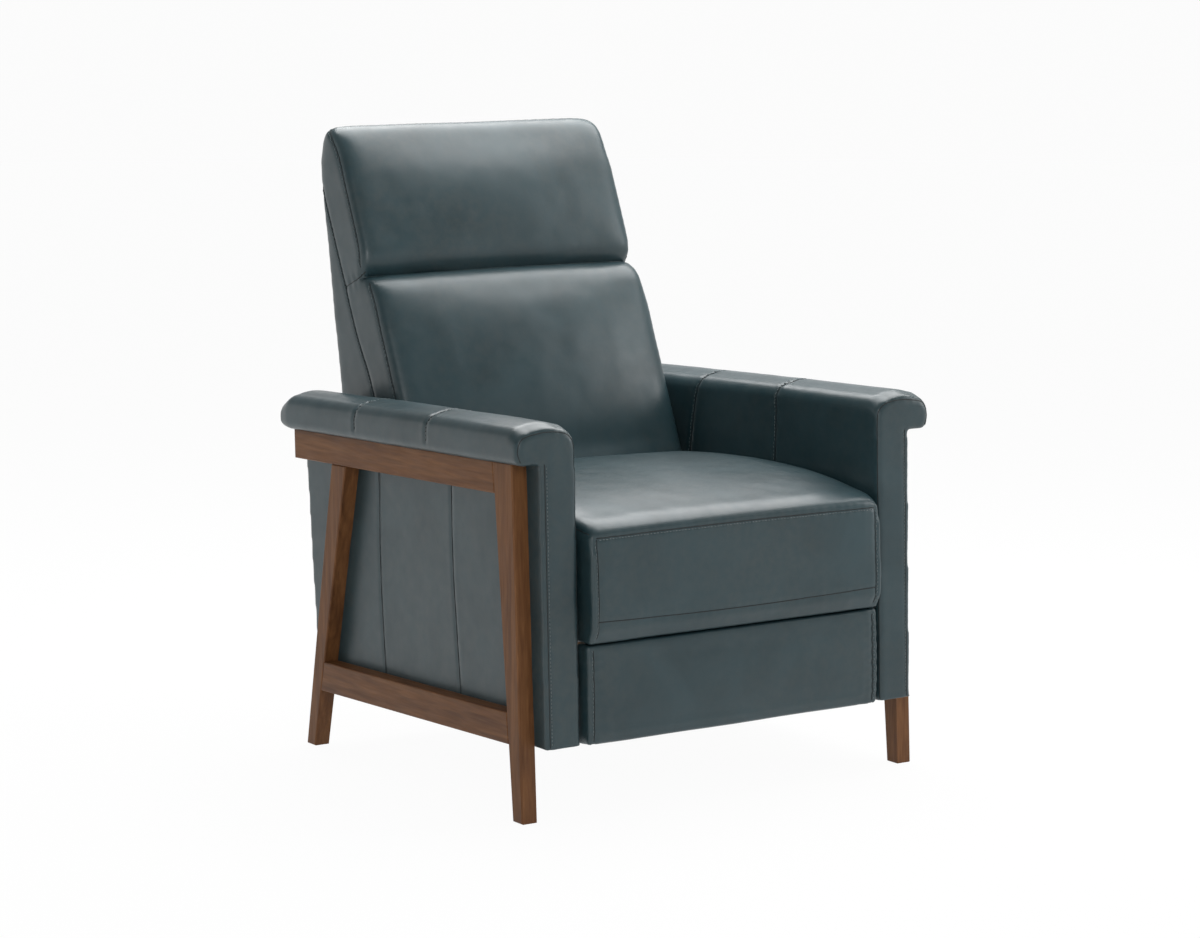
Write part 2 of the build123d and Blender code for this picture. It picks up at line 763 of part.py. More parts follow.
with BuildPart() as seat_deck:
    slab(box_points(seat_spring_front + clip_width, seat_rear(deck_bottom) - clip_width, deck_bottom,
                    deck_bottom + deck_thickness), -seat_frame_inner, seat_frame_inner)
seat_deck.part.label = "seat_deck"
export_step(seat_deck.part, "parts/seat_deck.step")


def seat_section(x, edge, crown):
    """Side profile of the seat: a border hanging over the frame's front, a round shoulder, a crowned top."""
    front = seat_front + edge
    top = seat_top + crown - edge
    shoulder = seat_shoulder + crown / 2 - edge
    middle = (seat_front + back_foot_depth) / 2
    border_inner = seat_frame_front - soft_gap
    tuck = (seat_frame_front - seat_front) * seat_tuck_share
    with BuildSketch(side_plane(x)) as drawing:
        with BuildLine():
            low = (front + tuck, seat_border_bottom + edge / 2)
            lower_seam = (front + seat_lower_inset, seat_border_bottom + seat_lower_seam)
            upper_seam = (front + seat_upper_inset, seat_seam)
            shoulder_top = (front + seat_shoulder_run, shoulder)
            bulge = (front + seat_shoulder_bulge, seat_seam + (shoulder - seat_seam) * seat_shoulder_share)
            rear_top = (seat_rear(top - seat_rear_drop), top - seat_rear_drop)
            rear_low = (seat_rear(cushion_bottom), cushion_bottom)
            step_top = (border_inner, cushion_bottom)
            step_low = (border_inner, seat_border_bottom + edge / 2)
            Line(low, lower_seam)
            ThreePointArc(lower_seam, (front, (lower_seam[1] + seat_seam) / 2), upper_seam)
            ThreePointArc(upper_seam, bulge, shoulder_top)
            ThreePointArc(shoulder_top, (middle, top + seat_top_rise), rear_top)
            Line(rear_top, rear_low)
            Line(rear_low, step_top)
            Line(step_top, step_low)
            Line(step_low, low)
        make_face()
    return drawing.sketch


with BuildPart() as seat_cushion:
    loft(cushion_sections(seat_section, seat_half_width, seat_edge, seat_crown), ruled=True)
seat_cushion.part.label = "seat_cushion"
export_step(seat_cushion.part, "parts/seat_cushion.step")

# Back: a wooden ladder frame on steel brackets, springs, two cushions, wedge side panels and an outside shell
stile_rear = back_frame_front + stile_depth
stile_points = [back_point(back_frame_front, stile_low), back_point(stile_rear, stile_low),
                back_point(stile_rear, stile_high), back_point(back_frame_front, stile_high)]
bracket_bolts = [back_point(back_frame_front + stile_depth / 2, along) for along in bracket_bolt_alongs]

for side, sign in SIDES:
    with BuildPart() as back_stile:
        slab(stile_points, sign * stile_inner, sign * stile_outer)
        holes(bracket_bolts, bolt_radius, sign * stile_outer, sign * (stile_outer - bolt_in_stile))
    back_stile.part.label = f"back_stile_{side}"
    export_step(back_stile.part, f"parts/back_stile_{side}.step")

for name, along in (("back_bottom_rail", stile_low), ("back_mid_rail", back_mid_rail),
                    ("back_top_rail", stile_high - back_rail_height)):
    with BuildPart() as back_rail:
        slab([back_point(back_frame_front, along), back_point(stile_rear, along),
              back_point(stile_rear, along + back_rail_height),
              back_point(back_frame_front, along + back_rail_height)], -stile_inner, stile_inner)
    back_rail.part.label = name
    export_step(back_rail.part, f"parts/{name}.step")

back_spring_end = (stile_inner + stile_outer) / 2
back_spring_pitch = 2 * back_spring_end / back_spring_runs
back_spring_places = [back_spring_low + i * back_spring_step for i in range(back_spring_count)]

with BuildPart() as back_springs:
    for along in back_spring_places:
        sinuous_wire(back_face(back_frame_front - wire_radius), (-back_spring_end, along), back_spring_pitch,
                     back_spring_runs, along_x=True)
back_springs.part.label = "back_springs"
export_step(back_springs.part, "parts/back_springs.step")

with BuildPart() as back_spring_clips:
    for along in back_spring_places:
        for side, sign in SIDES:
            clip(back_face(back_frame_front), (sign * back_spring_end, along), along_x=True)
back_spring_clips.part.label = "back_spring_clips"
export_step(back_spring_clips.part, "parts/back_spring_clips.step")

bracket_front = back_frame_front + bracket_inset
bracket_rear = stile_rear - bracket_inset
bracket_points = [shift(back_pivot, (-bracket_ear, 0)), shift(back_pivot, (0, -bracket_ear)),
                  back_point(bracket_rear, stile_low), back_point(bracket_rear, bracket_reach),
                  back_point(bracket_front, bracket_reach), back_point(bracket_front, bracket_foot_along),
                  shift(back_pivot, (0, bracket_ear))]
bracket_outer = stile_outer + steel

with BuildPart() as back_brackets:
    for side, sign in SIDES:
        slab(bracket_points, sign * stile_outer, sign * bracket_outer)
        holes([back_pivot], pivot_pin_radius, sign * stile_outer, sign * bracket_outer)
        holes(bracket_bolts, bolt_radius, sign * stile_outer, sign * bracket_outer)
back_brackets.part.label = "back_brackets"
export_step(back_brackets.part, "parts/back_brackets.step")

with BuildPart() as back_bracket_bolts:
    for side, sign in SIDES:
        headed_pin(bracket_bolts, sign * (stile_outer - bolt_in_stile), sign * bracket_outer, bolt_radius,
                   bolt_head_radius, bolt_head)
back_bracket_bolts.part.label = "back_bracket_bolts"
export_step(back_bracket_bolts.part, "parts/back_bracket_bolts.step")

shell_low = (shell_low_depth, shell_low_height)
shell_top = (shell_top_depth, shell_top_height)
shell_turn = degrees(atan2(shell_low_depth - shell_top_depth, shell_top_height - shell_low_height))
shell_inset = spin((-shell_thickness, 0), shell_turn)
shell_inner_low = shift(shell_low, shell_inset)
shell_inner_top = shift(shell_top, shell_inset)

with BuildPart() as outside_back:
    slab([shell_low, shell_top, shell_inner_top, shell_inner_low], -back_half_width, back_half_width)
outside_back.part.label = "outside_back"
export_step(outside_back.part, "parts/outside_back.step")


def shell_through(along):
    """How far the shell's inner face stands behind the back's front face."""
    low = through_along(shell_inner_low)
    top = through_along(shell_inner_top)
    return low[0] + (along - low[1]) * (top[0] - low[0]) / (top[1] - low[1])


head_rear = head_setback + head_pad
panel_top = head_top - head_bend
panel_points = [back_point(back_pad + soft_gap, stile_low), back_point(back_pad + soft_gap, stile_high),
                back_point(head_rear + soft_gap, stile_high), back_point(head_rear + soft_gap, panel_top),
                back_point(shell_through(panel_top), panel_top), shell_inner_low]

for side, sign in SIDES:
    with BuildPart() as back_side_panel:
        slab(panel_points, sign * (back_half_width - side_panel_thickness), sign * back_half_width)
    back_side_panel.part.label = f"back_side_panel_{side}"
    export_step(back_side_panel.part, f"parts/back_side_panel_{side}.step")


def back_plane(x):
    """Local axes are through and along on the back, facing +X."""
    return Plane(origin=body_origin(*back_point(0, 0)) + Vector(x, 0, 0),
                 x_dir=body_vector(*spin((1, 0), -back_lean)), z_dir=(1, 0, 0))


def lumbar_section(x, edge, crown):
    """Profile of the lower back cushion: flat behind the seat, swelling forward, rolled into the crease."""
    top = stile_high
    middle = (lumbar_foot + crease_along) / 2
    brow = (edge - crown * roll_crown_share, top - lumbar_roll)
    with BuildSketch(back_plane(x)) as drawing:
        with BuildLine():
            Line((edge, lumbar_foot), (edge, lumbar_low))
            Line((edge, lumbar_low), (back_pad, lumbar_low))
            Line((back_pad, lumbar_low), (back_pad, top))
            Line((back_pad, top), (lumbar_roll, top))
            roll = roll_share * lumbar_roll
            ThreePointArc((lumbar_roll, top), (brow[0] + roll, top - roll), brow)
            ThreePointArc(brow, (edge - crown, middle), (edge, lumbar_foot))
        make_face()
    return drawing.sketch


def head_section(x, edge, crown):
    """Profile of the head cushion: rolled out of the crease, crowned in front and rounded over the top."""
    low = crease_along
    front = head_setback + edge
    top = head_top - edge
    shoulder = (front - crown * roll_crown_share, low + head_roll)
    brow = (front, top - head_roll)
    rear_low = (head_rear, low)
    rear_bend = (head_rear, panel_top)
    rear_top = (shell_through(head_top - head_rear_drop) - soft_gap, head_top - head_rear_drop)
    crest = (rear_top[0] - head_crest, top)
    with BuildSketch(back_plane(x)) as drawing:
        with BuildLine():
            Line(rear_low, rear_bend)
            Line(rear_bend, rear_top)
            crest_in, crest_down = (share * head_roll for share in head_crest_shares)
            brow_in, brow_down = (share * head_roll for share in head_brow_shares)
            ThreePointArc(rear_top, (rear_top[0] - crest_in, top - crest_down), crest)
            ThreePointArc(crest, (front + brow_in, top - brow_down), brow)
            ThreePointArc(brow, (front - crown, (brow[1] + shoulder[1]) / 2), shoulder)
            foot = (front + head_roll, low)
            roll = roll_share * head_roll
            ThreePointArc(shoulder, (shoulder[0] + roll, low + roll), foot)
            Line(foot, rear_low)
        make_face()
    return drawing.sketch


for name, section, crown in (("lumbar_cushion", lumbar_section, lumbar_crown),
                             ("head_cushion", head_section, head_crown)):
    with BuildPart() as cushion:
        loft(cushion_sections(section, back_half_width, back_edge, crown), ruled=True)
    cushion.part.label = name
    export_step(cushion.part, f"parts/{name}.step")

# Footrest linkage: drive and guide links swing a straight carrier, and a stay turns the footrest as it goes
with BuildPart() as drive_links:
    for side, sign in SIDES:
        inner, outer = layer_span(sign, drive_layer)
        link(drive_pivot, drive_end, link_width, inner, outer)
        link(drive_end, stay_rear, drive_crank_width, inner, outer)
        holes([drive_pivot, drive_end, stay_rear], rivet_radius, inner, outer)
drive_links.part.label = "drive_links"
export_step(drive_links.part, "parts/drive_links.step")

with BuildPart() as torque_tube:
    tube_end = layer_inner(drive_layer)
    rods([drive_pivot], tube_radius, -tube_end, tube_end)
    rods([drive_pivot], tube_radius - tube_wall, -tube_end, tube_end, mode=Mode.SUBTRACT)
torque_tube.part.label = "torque_tube"
export_step(torque_tube.part, "parts/torque_tube.step")

with BuildPart() as stay_pins:
    for side, sign in SIDES:
        rivets([stay_rear], sign, layer_outer(drive_layer), layer_inner(stay_layer))
stay_pins.part.label = "stay_pins"
export_step(stay_pins.part, "parts/stay_pins.step")

with BuildPart() as guide_links:
    for side, sign in SIDES:
        link(guide_pivot, guide_end, link_width, *layer_span(sign, drive_layer))
        holes([guide_pivot, guide_end], rivet_radius, *layer_span(sign, drive_layer))
guide_links.part.label = "guide_links"
export_step(guide_links.part, "parts/guide_links.step")

with BuildPart() as carrier_links:
    for side, sign in SIDES:
        link(drive_end, footrest_pivot, link_width, *layer_span(sign, carrier_layer))
        holes([drive_end, guide_end, footrest_pivot], rivet_radius, *layer_span(sign, carrier_layer))
carrier_links.part.label = "carrier_links"
export_step(carrier_links.part, "parts/carrier_links.step")

with BuildPart() as carrier_rivets:
    for side, sign in SIDES:
        rivets([drive_end, guide_end], sign, layer_inner(carrier_layer), layer_outer(drive_layer))
carrier_rivets.part.label = "carrier_rivets"
export_step(carrier_rivets.part, "parts/carrier_rivets.step")

with BuildPart() as stay_links:
    for side, sign in SIDES:
        inner, outer = layer_span(sign, stay_layer)
        link(stay_rear, stay_front, stay_width, inner, outer)
        rods([stay_rear], rivet_radius + stay_slack + stay_eye_wall, inner, outer)
        rods([stay_rear], rivet_radius + stay_slack, inner, outer, mode=Mode.SUBTRACT)
        holes([stay_front], rivet_radius, inner, outer)
stay_links.part.label = "stay_links"
export_step(stay_links.part, "parts/stay_links.step")

# Footrest: a padded board with a steel bracket at each side
board_low = footrest_bottom + board_margin
board_high = footrest_top - board_margin
bracket_half = bracket_arm_width / 2
footrest_screw_x = layer_outer(bracket_layer) - footrest_screw_inset
footrest_screws_at = [board_low + (board_high - board_low) * share for share in footrest_screw_shares]
flange_rear = board_rear + steel


def footrest_screw_row(radius, depth_from, depth_to, mode):
    places = [(sign * footrest_screw_x, height) for side, sign in SIDES for height in footrest_screws_at]
    extrude(discs(front_plane(depth_from), places, radius), amount=depth_from - depth_to, mode=mode)


with BuildPart() as footrest_board:
    slab(box_points(board_front, board_rear, board_low, board_high), -board_half_width, board_half_width)
    footrest_screw_row(screw_radius + hole_clearance, board_rear, board_rear - screw_in_board, Mode.SUBTRACT)
footrest_board.part.label = "footrest_board"
export_step(footrest_board.part, "parts/footrest_board.step")

with BuildPart() as footrest_brackets:
    for side, sign in SIDES:
        inner, outer = layer_span(sign, bracket_layer)
        slab(box_points(board_rear, flange_rear, board_low + board_margin, board_high - board_margin),
             sign * (layer_outer(bracket_layer) - bracket_flange), outer)
        slab(box_points(board_rear, footrest_pivot[0], footrest_pivot[1] - bracket_half,
                        footrest_pivot[1] + bracket_half), inner, outer)
        link(footrest_pivot, stay_front, bracket_arm_width, inner, outer)
        holes([footrest_pivot, stay_front], rivet_radius, inner, outer)
    footrest_screw_row(screw_radius + hole_clearance, flange_rear, board_rear, Mode.SUBTRACT)
footrest_brackets.part.label = "footrest_brackets"
export_step(footrest_brackets.part, "parts/footrest_brackets.step")

with BuildPart() as footrest_rivets:
    for side, sign in SIDES:
        rivets([footrest_pivot], sign, layer_inner(bracket_layer), layer_outer(carrier_layer))
        rivets([stay_front], sign, layer_inner(bracket_layer), layer_outer(stay_layer))
footrest_rivets.part.label = "footrest_rivets"
export_step(footrest_rivets.part, "parts/footrest_rivets.step")

with BuildPart() as footrest_screws:
    footrest_screw_row(screw_radius, flange_rear, board_rear - screw_in_board, Mode.ADD)
    footrest_screw_row(screw_head_radius, flange_rear + screw_head, flange_rear, Mode.ADD)
footrest_screws.part.label = "footrest_screws"
export_step(footrest_screws.part, "parts/footrest_screws.step")


def footrest_section(x, edge, crown):
    """Profile of the footrest pad: flat on its board, drawn in at the edges and crowned in front."""
    rear = board_front - soft_gap
    front = footrest_front + edge
    low = footrest_bottom + edge * footrest_edge_share
    high = footrest_top - edge * footrest_edge_share
    lip, lip_drop = footrest_lip
    roll, roll_drop = footrest_roll
    with BuildSketch(side_plane(x)) as drawing:
        with BuildLine():
            rear_high = (rear, high - footrest_rear_round)
            rear_low = (rear, low + footrest_rear_round)
            lip_low = (front + lip, low + lip_drop)
            lip_high = (front + lip, high - lip_drop)
            face_low = (front, low + footrest_face)
            face_high = (front, high - footrest_face)
            Line(rear_high, rear_low)
            ThreePointArc(rear_low, (rear - footrest_rear_run, low), lip_low)
            ThreePointArc(lip_low, (front + roll, low + roll_drop), face_low)
            ThreePointArc(face_low, (front - crown, (low + high) / 2), face_high)
            ThreePointArc(face_high, (front + roll, high - roll_drop), lip_high)
            ThreePointArc(lip_high, (rear - footrest_rear_run, high), rear_high)
        make_face()
    return drawing.sketch


with BuildPart() as footrest_pad:
    loft(cushion_sections(footrest_section, footrest_half_width, footrest_edge, footrest_crown), ruled=True)
footrest_pad.part.label = "footrest_pad"
export_step(footrest_pad.part, "parts/footrest_pad.step")
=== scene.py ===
import json
from collections import namedtuple
from math import cos, radians, sin, tau

import bmesh
import bpy
import numpy as np
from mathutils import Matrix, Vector, kdtree, noise
from mathutils.bvhtree import BVHTree

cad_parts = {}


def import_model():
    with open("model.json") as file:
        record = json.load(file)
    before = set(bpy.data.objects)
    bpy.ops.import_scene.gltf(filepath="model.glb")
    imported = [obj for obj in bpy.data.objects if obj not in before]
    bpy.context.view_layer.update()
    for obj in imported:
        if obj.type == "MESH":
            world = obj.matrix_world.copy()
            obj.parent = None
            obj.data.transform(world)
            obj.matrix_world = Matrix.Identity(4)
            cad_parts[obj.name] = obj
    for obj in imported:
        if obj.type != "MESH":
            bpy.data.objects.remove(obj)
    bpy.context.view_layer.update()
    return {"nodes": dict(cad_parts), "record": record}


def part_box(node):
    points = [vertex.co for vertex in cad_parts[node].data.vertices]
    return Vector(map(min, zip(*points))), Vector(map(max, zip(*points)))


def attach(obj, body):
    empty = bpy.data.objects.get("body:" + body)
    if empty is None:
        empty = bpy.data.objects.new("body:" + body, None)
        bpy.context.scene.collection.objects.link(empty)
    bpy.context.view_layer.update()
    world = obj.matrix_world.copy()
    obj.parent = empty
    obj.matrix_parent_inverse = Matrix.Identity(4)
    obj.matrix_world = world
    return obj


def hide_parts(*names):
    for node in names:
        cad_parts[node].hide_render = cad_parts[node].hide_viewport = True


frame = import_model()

# Places are written as (x, depth, height) in millimetres, as on the solids. Depth runs rearward from the
# front feet and height runs up, in a body that leans back by BODY_TILT. Blender itself works in metres.
MM = 0.001
BODY_TILT = radians(1.95)
FOOT_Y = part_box("front_leg_left")[0].y / MM
SIDES = {"left": 1, "right": -1}

# A place on the back is (through, along): rearward from its front face, and up along that face
BACK_FOOT = (478.0, 496.0)
BACK_LEAN = radians(21.1)

# Leather skins: mesh steps, weld distance, share of a smoothing round, and the unevenness of the hide
FINE_STEP = 3.6
COARSE_STEP = 4.5
WELD = 0.001
SMOOTHING = 0.5
INFLATE = 0.6
SLOW_WAVE = 150.0
SLOW_HEIGHT = 0.9
SMALL_WAVE = 38.0
SMALL_HEIGHT = 0.35
SEED_STEPS = (7.1, 3.3, 5.7)

# Seams: point spacing, the usual groove and pucker, the stitch rows, and the swelling beside them
SEAM_STEP = 2.5
SEAM_GROOVE = 1.3
SEAM_WIDTH = 3.6
SEAM_PUCKER = 0.12
ROW_AWAY = 3.2
END_ROW_AWAY = 3.0
SWELL_AWAY = 10.0
SWELL_WIDTH = 6.0
SWELL_SHARE = 0.12
PUCKER_PITCH = 17.0
PUCKER_REACH = 14.0
SEAM_REACH = 4 * PUCKER_REACH

# Thread: the stitches; and the fine tube where two panels meet, coloured with painted shade for the gap
STITCH_LENGTH = 4.2
STITCH_PITCH = 5.8
STITCH_RADIUS = 0.5
STITCH_WAIST = 0.7
JOIN_RADIUS = 0.75
JOIN_SIDES = 6

Seam = namedtuple("Seam", "points groove width rows pucker",
                  defaults=(SEAM_GROOVE, SEAM_WIDTH, (ROW_AWAY,), SEAM_PUCKER))


def world(place):
    """A (x, depth, height) place as a point in the row frame, in metres."""
    x, depth, height = place
    y = FOOT_Y + depth * cos(BODY_TILT) + height * sin(BODY_TILT)
    z = height * cos(BODY_TILT) - depth * sin(BODY_TILT)
    return Vector((x, y, z)) * MM


def body_place(point):
    """The (x, depth, height) place of a point of the row frame."""
    x, y, z = point / MM
    y -= FOOT_Y
    return (x, y * cos(BODY_TILT) - z * sin(BODY_TILT), y * sin(BODY_TILT) + z * cos(BODY_TILT))


def on_back(x, through, along):
    """The (x, depth, height) place of a place on the back."""
    depth = BACK_FOOT[0] + along * sin(BACK_LEAN) + through * cos(BACK_LEAN)
    height = BACK_FOOT[1] + along * cos(BACK_LEAN) - through * sin(BACK_LEAN)
    return (x, depth, height)


def back_place(depth, height):
    """The (through, along) place on the back of a (depth, height) point."""
    rearward = depth - BACK_FOOT[0]
    upward = height - BACK_FOOT[1]
    through = rearward * cos(BACK_LEAN) - upward * sin(BACK_LEAN)
    along = rearward * sin(BACK_LEAN) + upward * cos(BACK_LEAN)
    return (through, along)


def on_side(sign, places):
    """Places of the left side, put on the side with the given sign."""
    return [(sign * x, depth, height) for x, depth, height in places]


def across(half):
    """A whole line from its left half, which is given from the middle outward."""
    return on_side(-1, half[:0:-1]) + half


def rise(value, start, end):
    """0 before start, 1 after end."""
    return min(1.0, max(0.0, (value - start) / (end - start)))


# Materials
NOISE_RANGE = (0.3, 0.7)
MIX_FIRST = 6
MIX_SECOND = 7
MIX_RESULT = 2


def fill_inputs(node, inputs):
    """Sets a node's inputs by name, with _ for the spaces in a name."""
    for name, value in inputs.items():
        node.inputs[name.replace("_", " ")].default_value = value


class Shader:
    """A node material, with short ways to add textures to it."""

    def __init__(self, name, roughness, metallic=0.0, stretch=(1.0, 1.0, 1.0)):
        self.material = bpy.data.materials.new(name)
        self.material.use_nodes = True
        self.tree = self.material.node_tree
        self.bsdf = self.tree.nodes["Principled BSDF"]
        self.finish(Roughness=roughness, Metallic=metallic)
        mapping = self.add("Mapping", Scale=stretch)
        self.link(self.add("TexCoord").outputs["Object"], mapping.inputs["Vector"])
        self.place = mapping.outputs["Vector"]
        self.normal = None

    def finish(self, **inputs):
        fill_inputs(self.bsdf, inputs)

    def add(self, kind, **inputs):
        node = self.tree.nodes.new("ShaderNode" + kind)
        fill_inputs(node, inputs)
        return node

    def link(self, output, socket):
        self.tree.links.new(output, socket)

    def noise(self, scale, detail=4.0, distortion=0.0):
        node = self.add("TexNoise", Scale=scale, Detail=detail, Distortion=distortion)
        self.link(self.place, node.inputs["Vector"])
        return node.outputs["Fac"]

    def cells(self, scale):
        node = self.add("TexVoronoi", Scale=scale)
        node.feature = "SMOOTH_F1"
        self.link(self.place, node.inputs["Vector"])
        return node.outputs["Distance"]

    def wave(self, scale, direction):
        node = self.add("TexWave", Scale=scale)
        node.bands_direction = direction
        self.link(self.place, node.inputs["Vector"])
        return node.outputs["Fac"]

    def span(self, value, low, high):
        """A noise value, taken from its usual range to the given one."""
        usual_low, usual_high = NOISE_RANGE
        node = self.add("MapRange", From_Min=usual_low, From_Max=usual_high, To_Min=low, To_Max=high)
        self.link(value, node.inputs["Value"])
        return node.outputs["Result"]

    def ramp(self, value, colours, stops):
        """A colour that runs through the given ones as a value passes their stops."""
        node = self.add("ValToRGB")
        elements = node.color_ramp.elements
        while len(elements) < len(stops):
            elements.new(0.5)
        for element, colour, stop in zip(elements, colours, stops):
            element.position = stop
            element.color = (*colour, 1.0)
        self.link(value, node.inputs["Fac"])
        return node.outputs["Color"]

    def mix(self, first, second, value):
        node = self.add("Mix")
        node.data_type = "RGBA"
        self.link(value, node.inputs["Factor"])
        self.link(first, node.inputs[MIX_FIRST])
        self.link(second, node.inputs[MIX_SECOND])
        return node.outputs[MIX_RESULT]

    def colour(self, output):
        self.link(output, self.bsdf.inputs["Base Color"])

    def roughness(self, output):
        self.link(output, self.bsdf.inputs["Roughness"])

    def bump(self, value, strength, height):
        node = self.add("Bump", Strength=strength, Distance=height * MM)
        self.link(value, node.inputs["Height"])
        if self.normal:
            self.link(self.normal, node.inputs["Normal"])
        self.normal = node.outputs["Normal"]
        self.link(self.normal, self.bsdf.inputs["Normal"])


# Colours of the materials, each from dark to light
DYE = ((0.010, 0.034, 0.042), (0.022, 0.055, 0.066))
BURNISH = ((0.021, 0.040, 0.046), (0.046, 0.056, 0.054))
# SEAM_SHADE is painted shade: near-black for the shadowed gap where two panels of hide meet
SEAM_SHADE = ((0.004, 0.007, 0.008), (0.010, 0.015, 0.016))
THREAD = ((0.12, 0.15, 0.155), (0.20, 0.235, 0.24))
WALNUT = ((0.088, 0.034, 0.011), (0.176, 0.073, 0.025), (0.260, 0.121, 0.046))
FRAME_WOOD = ((0.17, 0.10, 0.050), (0.25, 0.155, 0.080), (0.32, 0.21, 0.115))
STEEL = ((0.30, 0.31, 0.32), (0.46, 0.47, 0.48))
DECK_CLOTH = ((0.010, 0.010, 0.011), (0.035, 0.035, 0.038))
NYLON = ((0.010, 0.010, 0.010), (0.022, 0.022, 0.022))

LEATHER_GLOSS = 0.42
WOOD_GLOSS = 0.28
WALNUT_ROUGHNESS = 0.5
FRAME_ROUGHNESS = 0.62
GRAIN_ALONG_X = (3.4, 46.0, 46.0)
GRAIN_ALONG_Y = (46.0, 3.4, 46.0)
GRAIN_ALONG_Z = (46.0, 46.0, 3.4)


def leather_material():
    """Smooth blue-green grey hide: cloudy dye, a slight warm burnish, fine pores and a soft finish coat."""
    shader = Shader("leather", 0.38)
    dye = shader.ramp(shader.noise(9.0, detail=5.0, distortion=0.6), DYE, (0.3, 0.7))
    burnish = shader.ramp(shader.noise(70.0, detail=6.0), BURNISH, (0.35, 0.7))
    shader.colour(shader.mix(dye, burnish, shader.span(shader.noise(4.0, detail=3.0), 0.05, 0.5)))
    shader.roughness(shader.span(shader.noise(45.0, detail=5.0), 0.34, 0.43))
    shader.bump(shader.noise(140.0, detail=5.0, distortion=0.8), strength=0.12, height=0.5)
    shader.bump(shader.cells(850.0), strength=0.12, height=0.25)
    shader.finish(Specular_IOR_Level=LEATHER_GLOSS, Coat_Weight=0.2, Coat_Roughness=0.27)
    return shader.material


def seam_shade_material():
    """Painted shade: a near-black colour for the joint where two panels of hide are sewn together, standing
    in for the shadow in its gap.
    """
    shader = Shader("seam", 0.7)
    shader.colour(shader.ramp(shader.noise(300.0), SEAM_SHADE, (0.35, 0.65)))
    shader.bump(shader.noise(800.0), strength=0.2, height=0.1)
    return shader.material


def thread_material():
    shader = Shader("thread", 0.6)
    shader.colour(shader.ramp(shader.noise(900.0), THREAD, (0.35, 0.65)))
    shader.bump(shader.noise(2500.0), strength=0.3, height=0.1)
    return shader.material


def wood_material(name, stretch, colours, roughness):
    """Wood with its grain along the axis that has the smallest stretch."""
    shader = Shader(name, roughness, stretch=stretch)
    broad = shader.ramp(shader.noise(1.0, detail=5.0, distortion=1.2), colours, (0.3, 0.5, 0.72))
    streak = shader.ramp(shader.noise(5.0, detail=8.0, distortion=0.4), colours, (0.32, 0.6, 0.8))
    shader.colour(shader.mix(broad, streak, shader.span(shader.noise(2.2), 0.3, 0.7)))
    shader.roughness(shader.span(shader.noise(6.0, detail=6.0), roughness - 0.06, roughness + 0.08))
    shader.bump(shader.noise(9.0, detail=8.0, distortion=0.3), strength=0.2, height=0.4)
    shader.finish(Specular_IOR_Level=WOOD_GLOSS)
    return shader.material


def steel_material():
    shader = Shader("steel", 0.36, metallic=0.9)
    shader.colour(shader.ramp(shader.noise(30.0, detail=6.0), STEEL, (0.3, 0.7)))
    shader.roughness(shader.span(shader.noise(220.0, detail=6.0), 0.28, 0.48))
    shader.bump(shader.noise(600.0, detail=3.0), strength=0.12, height=0.1)
    return shader.material


def cloth_material():
    shader = Shader("deck_cloth", 0.9)
    weave = shader.mix(shader.wave(260.0, "X"), shader.wave(260.0, "Y"), shader.noise(400.0))
    shader.colour(shader.ramp(weave, DECK_CLOTH, (0.2, 0.8)))
    shader.bump(weave, strength=0.5, height=0.4)
    return shader.material


def nylon_material():
    shader = Shader("nylon", 0.5)
    shader.colour(shader.ramp(shader.noise(60.0), NYLON, (0.3, 0.7)))
    shader.roughness(shader.span(shader.noise(180.0), 0.42, 0.58))
    shader.bump(shader.noise(900.0), strength=0.1, height=0.1)
    return shader.material


leather = leather_material()
thread = thread_material()
seam_shade = seam_shade_material()
frame_wood = wood_material("frame_wood", GRAIN_ALONG_X, FRAME_WOOD, FRAME_ROUGHNESS)
walnut_rail = wood_material("walnut_rail", GRAIN_ALONG_Y, WALNUT, WALNUT_ROUGHNESS)
walnut_leg = wood_material("walnut_leg", GRAIN_ALONG_Z, WALNUT, WALNUT_ROUGHNESS)
slot_materials = {"leather": leather, "frame_wood": frame_wood, "steel": steel_material(),
                  "deck_cloth": cloth_material(), "nylon": nylon_material()}

for part in frame["record"]["subparts"]:
    node = part["node"]
    material = slot_materials.get(part["material_slot"], walnut_leg if "leg" in node else walnut_rail)
    data = frame["nodes"][node].data
    data.materials.clear()
    data.materials.append(material)


# Leather skins
def node_mesh(name):
    """A copy of a solid's own mesh."""
    return frame["nodes"][name].data.copy()


def prism_mesh(outline, x_from, x_to):
    """A closed block with a (depth, height) outline, between two X values."""
    form = bmesh.new()
    rings = [[form.verts.new(world((x, *point))) for point in outline] for x in (x_from, x_to)]
    form.faces.new(rings[0])
    form.faces.new(reversed(rings[1]))
    for i in range(len(outline)):
        following = (i + 1) % len(outline)
        form.faces.new((rings[0][following], rings[0][i], rings[1][i], rings[1][following]))
    bmesh.ops.recalc_face_normals(form, faces=form.faces)
    mesh = bpy.data.meshes.new("block")
    form.to_mesh(mesh)
    return mesh


def bake(piece):
    """Turns a piece's modifiers into its mesh."""
    graph = bpy.context.evaluated_depsgraph_get()
    mesh = bpy.data.meshes.new_from_object(piece.evaluated_get(graph))
    piece.modifiers.clear()
    piece.data = mesh
    mesh.name = piece.name


def soften(piece, rounds, share=None):
    """Rounds a skin off, all over or by a share that depends on the (x, depth, height) place."""
    smooth = piece.modifiers.new("soften", "SMOOTH")
    smooth.factor = SMOOTHING
    smooth.iterations = rounds
    if share:
        group = piece.vertex_groups.new(name="soft")
        for vertex in piece.data.vertices:
            group.add([vertex.index], share(*body_place(vertex.co)), "REPLACE")
        smooth.vertex_group = group.name
    bake(piece)
    piece.vertex_groups.clear()


def reshape(piece, shift):
    """Moves each point of a skin by the (x, depth, height) shift that its place gets."""
    for vertex in piece.data.vertices:
        place = body_place(vertex.co)
        vertex.co = world([a + b for a, b in zip(place, shift(*place))])


